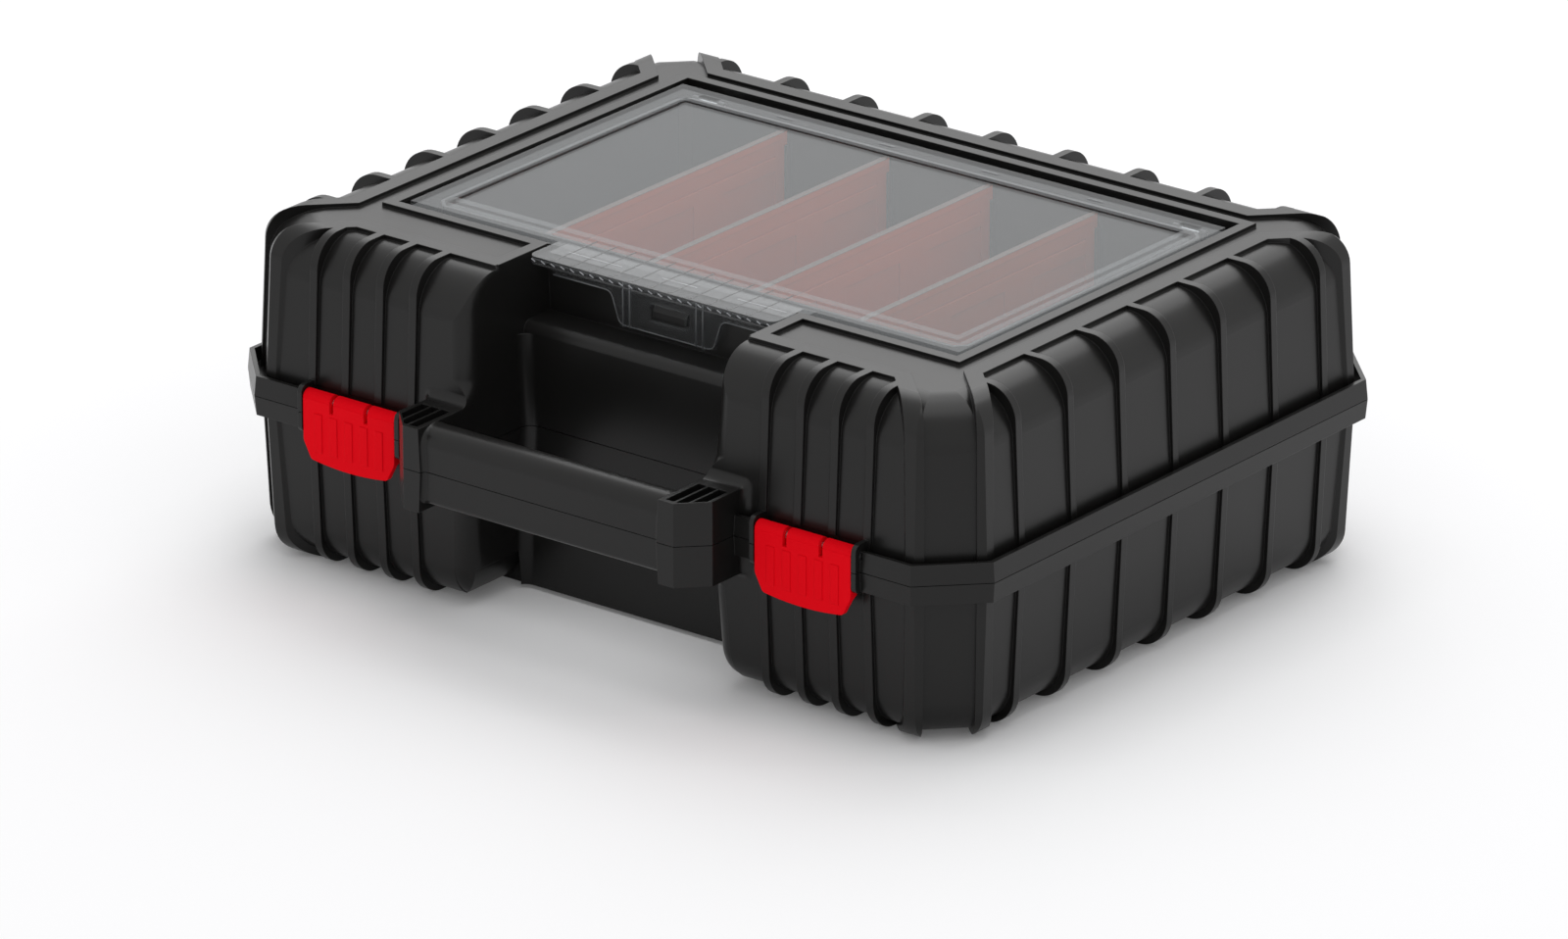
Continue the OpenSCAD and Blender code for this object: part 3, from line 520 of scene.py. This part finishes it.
def barOutline(height, corner, grow):
    # front, rounded edges and back of the bar's section, as (y, z) from the seam up
    r = corner + grow
    top = height + flare["rise"] * grow
    back = flare["barDepth"] + grow
    outline = [(-grow, flare["seam"])]
    for centre, start in ((-grow + r, math.pi), (back - r, math.pi / 2)):
        for k in range(flare["arc"] + 1):
            a = start - k / flare["arc"] * math.pi / 2
            outline.append((centre + r * math.cos(a), top - r + r * math.sin(a)))
    outline.append((back, flare["seam"]))
    return outline


def flareRing(bm, half, side, turn):
    # the bar's section, which grows as it nears the bracket
    front = cadBox[0][1] + flare["barFront"]
    grow = flare["radius"] * (1 - math.cos(turn)) + flare["proud"]
    away = flare["radius"] * (1 - math.sin(turn))
    ring = []
    for y, z in barOutline(half["height"], half["corner"], grow):
        x = flare["faceX"] + z * flare["lean"] - away
        ring.append(bm.verts.new((side * x, front + y, seamZ + half["up"] * z)))
    return [bm.edges.new(pair) for pair in zip(ring, ring[1:])]


def makeFlares():
    for half in flare["halves"]:
        bm = bmesh.new()
        for side in (-1, 1):
            before = None
            for k in range(flare["rings"] + 1):
                edges = flareRing(bm, half, side, k / flare["rings"] * math.pi / 2)
                if before:
                    bmesh.ops.bridge_loops(bm, edges=before + edges)
                before = edges
        bmesh.ops.recalc_face_normals(bm, faces=bm.faces)
        newPiece(half["name"], bm, "shell", half["body"], smooth=True)
    print("grip flared into its brackets")


rounding = {
    "weld": 0.002 * mm,
    "flat": math.radians(1),        # faces that bend by less are one face
    "sharp": math.radians(35),      # edges that bend by more are rounded
}


def cleanCopy(node):
    # a part's mesh comes as loose triangles, which are merged before its edges are rounded
    bm = bmesh.new()
    bm.from_mesh(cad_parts[node].data)
    bmesh.ops.remove_doubles(bm, verts=bm.verts, dist=rounding["weld"])
    bmesh.ops.dissolve_limit(bm, angle_limit=rounding["flat"], verts=bm.verts, edges=bm.edges)
    return bm


def roundEdges(bm, edges, radius, segments=2):
    bmesh.ops.bevel(bm, geom=edges, offset=radius, segments=segments, profile=0.5,
                    affect="EDGES", clamp_overlap=True, material=-1)


def bends(edge, angle):
    return len(edge.link_faces) == 2 and edge.calc_face_angle(0) > angle


def sharpEdges(bm, longer=0.0):
    return [edge for edge in bm.edges
            if bends(edge, rounding["sharp"]) and edge.calc_length() > longer]


lid = {
    "edge": 0.35 * mm,
    "longer": 4 * mm,       # shorter edges stay sharp
}


def makeLid():
    bm = cleanCopy("clear_lid")
    roundEdges(bm, sharpEdges(bm, lid["longer"]), lid["edge"])
    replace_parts(newPiece("clearSheet", bm, "clear", "clear_lid"), "clear_lid")
    print("clear lid rounded")


latch = {
    "corner": 2.2 * mm,         # rounds of the outline's corners
    "cornerSegments": 4,
    "edge": 0.45 * mm,
    "atSide": 4.5 * mm,         # the corners lie this near to the sides
    "below": 1 * mm,            # and no higher than this above the seam
    "straight": 0.99,           # how nearly they run front to back
    "bend": math.radians(12),
}


def outlineCorners(bm, left, right):
    corners = []
    for edge in bm.edges:
        a, b = (vert.co for vert in edge.verts)
        straight = abs((b - a).normalized().y) > latch["straight"]
        atSide = min(abs(a.x - left), abs(a.x - right)) < latch["atSide"]
        if straight and atSide and bends(edge, latch["bend"]) and a.z < seamZ + latch["below"]:
            corners.append(edge)
    return corners


def makeLatches():
    for side in ("left", "right"):
        node = "latch_" + side
        bm = cleanCopy(node)
        low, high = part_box(node)
        corners = outlineCorners(bm, low[0], high[0])
        roundEdges(bm, corners, latch["corner"], latch["cornerSegments"])
        roundEdges(bm, sharpEdges(bm), latch["edge"])
        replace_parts(newPiece(side + "Latch", bm, "latch", node), node)
    print("latches rounded")


studio = {
    "floor": 9.0,          # half its width
    "floorColour": rgb(0.945, 0.945, 0.955),
    "lift": 0.06,          # what the floor shows of the white background, whatever falls on it
    "sky": 0.60,
    "lamps": (
        {"name": "back", "place": (-0.95, 2.1, 2.3), "size": 2.8, "power": 35.0},
        {"name": "top", "place": (0.0, 0.2, 3.0), "size": 2.2, "power": 26.0},
    ),
}


def backgroundRay(shader):
    return shader.ray("Camera").atLeast(shader.ray("Glossy")).atLeast(shader.ray("Transmission"))


def makeFloor():
    bm = bmesh.new()
    bmesh.ops.create_grid(bm, x_segments=1, y_segments=1, size=studio["floor"])
    material = bpy.data.materials.new("floor")
    shader = Shader(material)
    paint = shader.node("ShaderNodeBsdfDiffuse", {}, {"Color": studio["floorColour"]})
    glow = shader.node("ShaderNodeEmission", {},
                       {"Strength": backgroundRay(shader) * studio["lift"]})
    shader.finish(shader.node("ShaderNodeAddShader", {}, {0: paint, 1: glow}))
    floor = newObject("floor", bm, material)


def makeLights():
    world = bpy.data.worlds.new("studio")
    scene.world = world
    shader = Shader(world)
    strength = studio["sky"] + backgroundRay(shader) * (1.0 - studio["sky"])
    sky = shader.node("ShaderNodeBackground", {}, {"Color": rgb(1, 1, 1), "Strength": strength})
    shader.finish(sky, "ShaderNodeOutputWorld")
    for lamp in studio["lamps"]:
        data = bpy.data.lights.new(lamp["name"], "AREA")
        data.size = lamp["size"]
        data.energy = lamp["power"]
        shine = bpy.data.objects.new(lamp["name"], data)
        shine.location = lamp["place"]
        aim = Vector((0, 0, seamZ)) - Vector(lamp["place"])
        shine.rotation_euler = aim.to_track_quat("-Z", "Y").to_euler()
        scene.collection.objects.link(shine)
    scene.view_settings.view_transform = "Standard"
    print("studio set")


makeCamera()
makeFloor()
makeLights()
dressNodes()
makeTabDetails()
makeFlares()
makeLid()
makeLatches()
